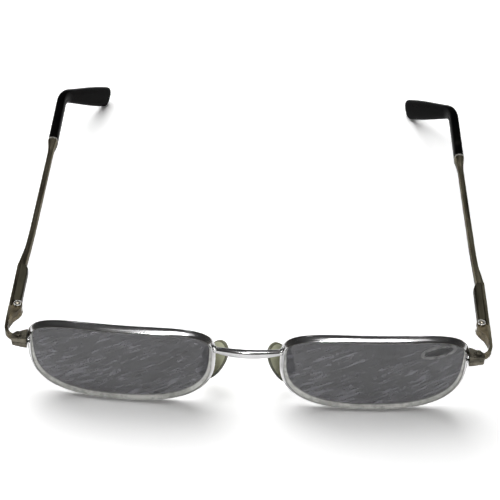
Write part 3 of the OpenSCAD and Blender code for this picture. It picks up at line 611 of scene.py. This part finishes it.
def label():
    """The oval film on the right lens, with a paler border and a clear back."""
    middle = np.array([LABEL_X - LENS_CX, LABEL_Z - WIDEST_Z])
    c, s = math.cos(LABEL_TILT), math.sin(LABEL_TILT)
    count = 64

    def film_ring(share, inset, out):
        pts = []
        for i in range(count):
            a = i * 2 * math.pi / count
            u = share * (LABEL_L / 2 - inset) * math.cos(a)
            v = share * (LABEL_H / 2 - inset) * math.sin(a)
            q = middle + np.array([u * c - v * s, u * s + v * c])
            pts.append(on_front(q, -half_lens(q) - LABEL_GAP - out))
        return pts

    centre = half_lens(middle) + LABEL_GAP
    rings = [[on_front(middle, -centre - LABEL_T)],
             film_ring(0.5, LABEL_RING, LABEL_T), film_ring(1, LABEL_RING, LABEL_T),
             film_ring(1, 0.08, LABEL_T), film_ring(1, 0, LABEL_T - 0.015), film_ring(1, 0, 0),
             film_ring(1, LABEL_RING, 0), [on_front(middle, -centre)]]
    looks = [0, 0, 1, 1, 1, 2, 2]
    obj = skin("label_film", rings, [film_fill, film_edge, film_clear],
               band=lambda i, _: looks[i], sharp=35)
    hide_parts("lens_label")
    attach(obj, "front")


# Bridge

def bridge():
    """The bar between the rims, bowed forward, whose ends sink into them."""
    steps, count = 64, 28
    span_x, bow = BRIDGE_W / 2 + BRIDGE_SINK, BRIDGE_BOW - BRIDGE_TRIM

    def point(w):
        return np.array([w * span_x, -bow * (1 - w * w) * (1 - w * w * 0.2), BRIDGE_Z])

    rings = []
    for i in range(steps + 1):
        u = 2 * i / steps - 1
        ahead, behind = point(min(u + 0.02, 1)), point(max(u - 0.02, -1))
        d = BRIDGE_END + (BRIDGE_MID_D - BRIDGE_END) * (1 - u * u)
        h = BRIDGE_END + (BRIDGE_MID_H - BRIDGE_END) * (1 - u * u)
        rings.append(ring_at(point(u), ahead - behind, section(d, h, 2.2, count)))
    obj = skin("bridge_bar", rings, [rim_metal], sharp=60)
    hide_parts("bridge")
    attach(obj, "front")


def bead(name, middle, size, side):
    """A small uneven drop of solder."""
    count = 20
    middle, pole = np.array(middle), np.array([size[0], 0, 0])
    rings = [[middle + pole]]
    for i in range(1, 12):
        a = math.pi * i / 12
        ring = []
        for j in range(count):
            b = 2 * math.pi * j / count
            lump = 1 + 0.06 * math.sin(2 * b + 1) * math.sin(a) + 0.04 * math.cos(3 * a + b)
            spoke = np.array([size[0] * math.cos(a), size[1] * math.sin(a) * math.cos(b),
                              size[2] * math.sin(a) * math.sin(b)])
            ring.append(middle + spoke * lump)
        rings.append(ring)
    rings.append([middle - pole])
    obj = skin(name, rings, [solder], sharp=60, side=side)
    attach(obj, "front")


def screw_dome(side, name):
    """The polished round head of the hinge screw, its outer bands painted darker as shade."""
    count, foot = 36, HINGE[2] + DOME_FOOT
    rings = [[(HINGE[0], HINGE[1], foot)]]
    for r, z in DOME:
        rings.append([(HINGE[0] + r * math.cos(a), HINGE[1] - r * math.sin(a), foot + z)
                      for a in (i * 2 * math.pi / count for i in range(count))])
    rings.append([(HINGE[0], HINGE[1], foot + DOME_TOP)])
    obj = skin(f"hinge_dome_{name}", rings, [gilt, gilt_rim_shade],
               band=lambda i, _: int(i < DOME_SHADE_BANDS), sharp=60, side=side)
    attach(obj, "front")


# Nose pads

def pad_point(x, y, z):
    """A point of the right pad's own frame, whose X runs out from the nose, in the front's."""
    c, s = math.cos, math.sin
    y, z = y * c(PAD_TILT) - z * s(PAD_TILT), y * s(PAD_TILT) + z * c(PAD_TILT)
    along = x * c(PAD_LEAN) - z * s(PAD_LEAN)
    return np.array([
        PAD_SCREW[0] + along * c(PAD_TURN) + y * s(PAD_TURN),
        PAD_SCREW[1] - along * s(PAD_TURN) + y * c(PAD_TURN),
        PAD_SCREW[2] + x * s(PAD_LEAN) + z * c(PAD_LEAN),
    ])


def nose_pad(side, name):
    """A crowned oval pad, with painted shade as a darker edge all round."""
    profile = [(0.3, 0.01), (0.55, 0.03), (0.75, 0.07), (0.9, 0.15), (0.98, 0.28), (1, 0.42),
               (0.985, 0.56), (0.93, 0.7), (0.83, 0.82), (0.68, 0.91), (0.45, 0.97), (0.2, 0.995)]
    count = 56
    rings = [[pad_point(PAD_BACK, 0, 0)]]
    for share, depth in profile:
        rings.append([
            pad_point(PAD_BACK - PAD_T * depth, share * PAD_W / 2 * power(math.cos(a), 0.92),
                      share * PAD_L / 2 * power(math.sin(a), 0.92))
            for a in (i * 2 * math.pi / count for i in range(count))
        ])
    rings.append([pad_point(PAD_BACK - PAD_T, 0, 0)])
    obj = skin(f"pad_skin_{name}", rings, [pad_clear, pad_edge_painted_shade],
               band=lambda i, _: int(4 <= i <= 6), sharp=70, side=side)
    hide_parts(f"nose_pad_{name}")
    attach(obj, f"pad_{name}")


def pad_arm(side, name):
    """The wire from the rim's back to the pad's box, flared at both ends."""
    foot_z = PAD_SCREW[2] + PAD_WIRE_RISE
    t = math.pi + math.asin(((WIDEST_Z - foot_z) / WIDEST_H) ** (SQUARE[(-1, -1)] / 2))
    foot = on_front(outline(t) + outward(t) * (RIM_IN + RIM_OUT) / 2, RIM_D / 2 - 0.3)
    route = [foot, foot + np.array([0.1, 1.9, 0.5]), pad_point(PAD_BOX_END + 1.3, 1.2, 4),
             pad_point(PAD_BOX_END + 1.5, 0.4, 1.6), pad_point(PAD_BOX_END - 0.12, 0, 0.2)]
    line = smooth_path(route, 10)
    rings = []
    for i, p in enumerate(line):
        d = line[min(i + 1, len(line) - 1)] - line[max(i - 1, 0)]
        flare = max(0, 1 - i / 4, 1 - (len(line) - 1 - i) / 4)
        width = PAD_WIRE_D * (1 + 0.25 * flare ** 2)
        rings.append(ring_at(p, d, section(width, width, 2, 18)))
    obj = skin(f"pad_wire_{name}", rings, [rim_metal], sharp=60, side=side)
    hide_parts(f"pad_arm_{name}")
    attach(obj, "front")


# Arms and tips

TAIL = np.array([-math.sin(TAIL_IN) * math.cos(TAIL_DOWN),
                 math.cos(TAIL_IN) * math.cos(TAIL_DOWN), -math.sin(TAIL_DOWN)])
BEND = math.acos(TAIL[1])
BEND_T = BEND_R * math.tan(BEND / 2)
BEND_START = BEND_L - BEND_T
BEND_ARC = BEND_R * BEND
BEND_END = BEND_START + BEND_ARC
END_ROUND = [(TIP_ROUND_L, 1), (1.4, 0.95), (0.7, 0.85), (0.25, 0.68), (0.05, 0.45)]
TAIL_REACH = max(k * PADDLE_H / 2 * math.cos(TAIL_DOWN) - e * math.sin(TAIL_DOWN)
                 for e, k in END_ROUND)
TAIL_L = (HINGE[2] - TAIL_REACH) / math.sin(TAIL_DOWN) - BEND_T
PATH_END = BEND_END + TAIL_L
AHEAD = np.array([0.0, 1.0, 0.0])


def arm_point(s):
    """The right arm's middle line, s behind the hinge's axis."""
    if s <= BEND_START:
        return np.array([HINGE[0], HINGE[1] + s, HINGE[2]])
    a = min((s - BEND_START) / BEND_ARC, 1) * BEND
    return (np.array([HINGE[0], HINGE[1] + BEND_START, HINGE[2]])
            + AHEAD * BEND_R * (math.cos(BEND - a) - math.cos(BEND)) / math.sin(BEND)
            + TAIL * (BEND_R * (1 - math.cos(a)) / math.sin(BEND) + max(0, s - BEND_END)))


def arm_dir(s):
    """The direction of that line."""
    if s <= BEND_START:
        return AHEAD
    if s >= BEND_END:
        return TAIL
    a = (s - BEND_START) / BEND_ARC * BEND
    return (AHEAD * math.sin(BEND - a) + TAIL * math.sin(a)) / math.sin(BEND)


def stations():
    """The arm's sections: place, inner side, outer side, height and squareness."""
    w, tip_w, flare = WIRE_W / 2, TIP_W / 2, TIP_START - 7
    return [
        (THICK_START, 0.1, STRIP_OUT, STRIP_H, 5),
        (THICK_START + 3.2, -0.1, STRIP_OUT - 0.3, STRIP_H - 0.2, 4),
        (THICK_START + 8, 0.65 - w, 0.65 + w, WIRE_H + 0.1, 3),
        (THICK_START + 16, 0.4 - w, 0.4 + w, WIRE_H, 3),
        (flare - 20, 0.2 - w, 0.2 + w, WIRE_H, 3),
        (flare, -w, w, WIRE_H, 3),
        (TIP_START - 4.2, -w - 0.1, w + 0.1, WIRE_H + 0.3, 3),
        (TIP_START - 2.1, -tip_w + 0.2, tip_w - 0.2, TIP_H - 0.5, 3),
        (TIP_START - 0.8, -tip_w, tip_w, TIP_H - 0.05, 3),
        (TIP_START, -tip_w, tip_w, TIP_H - 0.05, 3),
    ]


def eased(table, s):
    """Values between stations, without overshoot."""
    for (a, *va), (b, *vb) in zip(table, table[1:]):
        if s <= b + 1e-9:
            t = max(0.0, min(1.0, (s - a) / (b - a)))
            return [x + (y - x) * t for x, y in zip(va, vb)]
    return table[-1][1:]


def temple(side, name):
    """The arm's wire from the housing to its end at the sleeve, painted bright there as a
    highlight, and the sleeve's core.
    """
    count, table = 32, stations()
    marks = sorted(set([s[0] for s in table] + list(np.linspace(table[0][0], table[-1][0], 70))))
    rings = []
    for s in marks:
        around = [max(THICK_START, min(TIP_START, s + k * ARM_EASE)) for k in (-1, -0.5, 0, 0.5, 1)]
        if TIP_START - s < ARM_STEP:
            around = [s]
        inner, outer, h, n = np.mean([eased(table, x) for x in around], axis=0)
        shape = section(outer - inner, h, n, count)
        rings.append(ring_at(arm_point(s), arm_dir(s), shape, (inner + outer) / 2))
    last = rings[-1]
    middle = np.mean(last, axis=0)
    rings.append([middle + (p - middle) * 0.9 for p in last])
    core = section(CORE_W, CORE_H, 4, count)
    bend = [BEND_START + BEND_ARC * i / 12 for i in range(13)]
    for s in [TIP_START, *bend, PATH_END - CORE_BACK]:
        rings.append(ring_at(arm_point(s), arm_dir(s), core))
    # Painted highlight from here to the sleeve.
    bright = next(i for i, mark in enumerate(marks) if mark >= TIP_START - GLINT_BAND_L)
    obj = skin(f"arm_wire_{name}", rings, [arm_metal, ferrule_glint],
               band=lambda i, _: int(bright <= i <= len(marks)), sharp=40, side=side)
    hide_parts(f"temple_{name}")
    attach(obj, f"arm_{name}")


def arm_front(side, name, body):
    """The arm's straight flat front stretch beside the housing, edges rounded."""
    x0, x1 = HINGE[0] + STRIP_IN, HINGE[0] + STRIP_OUT
    y0, y1 = HINGE[1], HINGE[1] + THICK_START + 0.2
    z0, z1 = HINGE[2] - STRIP_H / 2, HINGE[2] + STRIP_H / 2
    r = ARM_ROUND
    profile = []
    for cx, cz, start in ((x1 - r, z1 - r, 0), (x0 + r, z1 - r, 90), (x0 + r, z0 + r, 180),
                          (x1 - r, z0 + r, 270)):
        profile += [(cx + r * math.cos(a), cz + r * math.sin(a))
                    for a in (math.radians(start + k * 22.5) for k in range(5))]
    mid_x, mid_z = (x0 + x1) / 2, (z0 + z1) / 2
    rings = []
    for y, k in ((y0, 0.86), (y0 + 0.06, 0.95), (y0 + 0.16, 1), (y1, 1)):
        rings.append([(mid_x + (a - mid_x) * k, y, mid_z + (b - mid_z) * (1 - (1 - k) * 0.3))
                      for a, b in profile])
    obj = skin(f"arm_plate_{name}", rings, [arm_metal], sharp=45, side=side)
    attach(obj, body)


def tip_height(s):
    """Height of the sleeve, which widens into a paddle."""
    u = max(0, (s - BEND_START) / (PATH_END - BEND_START))
    return TIP_H + (PADDLE_H - TIP_H) * (1 - math.cos(math.pi * min(1, u * 1.15))) / 2


def tip(side, name):
    """The glossy sleeve, bored for the arm's core."""
    count, front = 40, TIP_START + 0.02

    def ring(s, share):
        shape = section(TIP_W * share, tip_height(s) * share, 2.6, count)
        return ring_at(arm_point(s), arm_dir(s), shape)

    def bore(s):
        shape = section(CORE_W + BORE_PLAY, CORE_H + BORE_PLAY, 4, count)
        return ring_at(arm_point(s), arm_dir(s), shape)

    bend = [BEND_START + BEND_ARC * i / 16 for i in range(17)]
    rings = [bore(s) for s in (PATH_END - BORE_BACK, *reversed(bend), front)]
    rings += [ring(front + e, k) for e, k in ((0, 0.86), (0.05, 0.94), (0.18, 0.985), (0.35, 1))]
    rings += [ring(s, 1) for s in np.linspace(front + 3, BEND_START - 1, 10)]
    rings += [ring(s, 1) for s in bend]
    rings += [ring(s, 1) for s in np.linspace(BEND_END + 1.5, PATH_END - TIP_ROUND_L, 16)]
    for e in (1.9, 1.4, 1.0, 0.65, 0.38, 0.18, 0.08):
        share = (1 - (1 - e / TIP_ROUND_L) ** TIP_ROUND_POWER) ** (1 / TIP_ROUND_POWER)
        rings.append(ring(PATH_END - TIP_SHORT - e, 0.35 + 0.65 * share))
    rings.append([arm_point(PATH_END - 0.08)])
    obj = skin(f"tip_sleeve_{name}", rings, [tip_black], sharp=50, side=side)
    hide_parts(f"temple_tip_{name}")
    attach(obj, f"arm_{name}")


# Everything in place

label()
bridge()
for side, name in ((-1, "left"), (1, "right")):
    arm = f"arm_{name}"
    rim(side, name)
    lens(side, name)
    nose_pad(side, name)
    pad_arm(side, name)
    temple(side, name)
    arm_front(side, name, arm)
    tip(side, name)
    screw_dome(side, name)
    bead(f"bridge_bead_{name}", BRIDGE_BEAD, BRIDGE_BEAD_SIZE, side)
    bead(f"lock_bead_{name}", LOCK_BEAD, LOCK_BEAD_SIZE, side)
    for node, width, material, body, slot in (
        ("rim_lock_upper", 0.14, lock_metal, "front", "arm_metal"),
        ("rim_lock_lower", 0.14, lock_metal, "front", "arm_metal"),
        ("endpiece", 0.16, arm_metal, "front", "arm_metal"),
        ("hinge_leaf", 0.12, leaf_metal, "front", "arm_metal"),
        ("hinge_slider", 0.06, steel, f"slider_{name}", "screw_steel"),
        ("spring_housing", 0.2, housing_metal, arm, "arm_metal"),
        ("pad_box", 0.1, rim_metal, "front", "rim_metal"),
        ("pad_core", 0.05, steel, f"pad_{name}", "screw_steel"),
    ):
        piece = softened(f"{node}_{name}", f"{node}_soft_{name}", width, material)
        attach(piece, body)
    for node, material in (("rod_nut", brass), ("spring", steel), ("spring_stop", brass)):
        mesh = NODES[f"{node}_{name}"].data
        mesh.materials.clear()
        mesh.materials.append(material)
for node, width, material in (("pad_screws", 0.05, steel), ("rim_lock_screws", 0.1, lock_metal),
                              ("hinge_screws", 0.1, steel)):
    piece = softened(node, f"{node}_soft", width, material)
    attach(piece, "front")


# Floor, lights and camera

FLOOR_TRUE, FLOOR_SEEN = 0.96, 1.5


def floor():
    """A white floor, paler to camera, glossy and transmission rays than in the light it gives."""
    mesh = bpy.data.meshes.new("floor")
    half = 4.0
    mesh.from_pydata([(-half, -half, 0), (half, -half, 0), (half, half, 0), (-half, half, 0)], [],
                     [(0, 1, 2, 3)])
    obj = bpy.data.objects.new("floor", mesh)
    bpy.context.scene.collection.objects.link(obj)
    material = bpy.data.materials.new("floor_white")
    material.use_nodes = True
    nodes, links = material.node_tree.nodes, material.node_tree.links
    nodes.clear()
    out = nodes.new("ShaderNodeOutputMaterial")
    mix = nodes.new("ShaderNodeMixShader")
    for socket, value in ((1, FLOOR_TRUE), (2, FLOOR_SEEN)):
        white = nodes.new("ShaderNodeBsdfDiffuse")
        white.inputs["Color"].default_value = (value, value, value, 1)
        links.new(white.outputs["BSDF"], mix.inputs[socket])
    path = nodes.new("ShaderNodeLightPath")
    seen = path.outputs["Is Camera Ray"]
    for ray in ("Is Glossy Ray", "Is Transmission Ray"):
        either = nodes.new("ShaderNodeMath")
        either.operation = "MAXIMUM"
        links.new(seen, either.inputs[0])
        links.new(path.outputs[ray], either.inputs[1])
        seen = either.outputs["Value"]
    links.new(seen, mix.inputs["Fac"])
    links.new(mix.outputs["Shader"], out.inputs["Surface"])
    mesh.materials.append(material)


def lamp(name, place, target, size, power_w, diffuse=True, glossy=True):
    """A rectangular lamp, in metres and watts, which can be kept out of matt or glossy light."""
    data = bpy.data.lights.new(name, "AREA")
    data.shape = "RECTANGLE"
    data.size, data.size_y = size
    data.energy = power_w
    obj = bpy.data.objects.new(name, data)
    obj.location = place
    obj.rotation_euler = (Vector(target) - Vector(place)).to_track_quat("-Z", "Y").to_euler()
    obj.visible_diffuse = diffuse
    obj.visible_glossy = glossy
    bpy.context.scene.collection.objects.link(obj)


def world():
    """A dim room, lighter and warmer towards the horizon, and a little lighter straight above."""
    scene = bpy.context.scene
    scene.world = scene.world or bpy.data.worlds.new("studio")
    scene.world.use_nodes = True
    nodes, links = scene.world.node_tree.nodes, scene.world.node_tree.links
    nodes.clear()
    out = nodes.new("ShaderNodeOutputWorld")
    back = nodes.new("ShaderNodeBackground")
    coords = nodes.new("ShaderNodeTexCoord")
    split = nodes.new("ShaderNodeSeparateXYZ")
    links.new(coords.outputs["Generated"], split.inputs["Vector"])
    stops = [(0.0, (0.16, 0.15, 0.13)), (0.25, (0.07, 0.068, 0.064)), (0.7, (0.04, 0.04, 0.04)),
             (1.0, (0.1, 0.1, 0.1))]
    links.new(ramp(nodes, links, split.outputs["Z"], stops), back.inputs["Color"])
    back.inputs["Strength"].default_value = 1.0
    links.new(back.outputs["Background"], out.inputs["Surface"])


def camera():
    """The photo's view: angles in radians, focal length and width in pixels."""
    yaw, pitch, roll, focal, width = 0.0007, 0.7094, 0.0425, 1500.0, 500.0
    forward = np.array([math.sin(yaw) * math.cos(pitch), math.cos(yaw) * math.cos(pitch),
                        -math.sin(pitch)])
    right = np.array([math.cos(yaw), -math.sin(yaw), 0])
    up = np.cross(right, forward)
    x = math.cos(roll) * right + math.sin(roll) * up
    y = -math.sin(roll) * right + math.cos(roll) * up
    place = np.array([-0.852, -302.448 + FRONT_Y, 318.118]) * MM
    data = bpy.data.cameras.new("photo_view")
    data.sensor_width = 36.0
    data.lens = data.sensor_width * focal / width
    data.clip_start = 0.01
    obj = bpy.data.objects.new("photo_view", data)
    turn = Matrix((x, y, -forward)).transposed().to_4x4()
    obj.matrix_world = Matrix.Translation(Vector(place)) @ turn
    bpy.context.scene.collection.objects.link(obj)
    bpy.context.scene.camera = obj


floor()
world()
middle = (0, -0.02, 0)
lamp("key", (-0.195, 0.262, 0.722), middle, (0.9, 0.9), 7.4, glossy=False)
lamp("fill", (0.05, -1.1, 0.32), middle, (1.0, 0.5), 3.6, glossy=False)
lamp("window", (0.085, -0.31, 0.61), (0, -0.075, 0.02), (0.2, 0.2), 1.05, diffuse=False)
lamp("sheen", (0.08, -0.29, 0.6), (0, -0.075, 0.02), (0.42, 0.16), 0.22, diffuse=False)
lamp("flash", (-0.02, -0.4, 0.35), (0, -0.075, 0.02), (0.05, 0.05), 0.55, diffuse=False)
lamp("glint_right", (0.19, 0.52, 0.61), (0.067, -0.06, 0.022), (0.06, 0.06), 0.05, diffuse=False)
lamp("glint_left", (-0.19, 0.52, 0.61), (-0.067, -0.06, 0.022), (0.06, 0.06), 0.045, diffuse=False)
camera()
bpy.context.scene.view_settings.view_transform = "Standard"
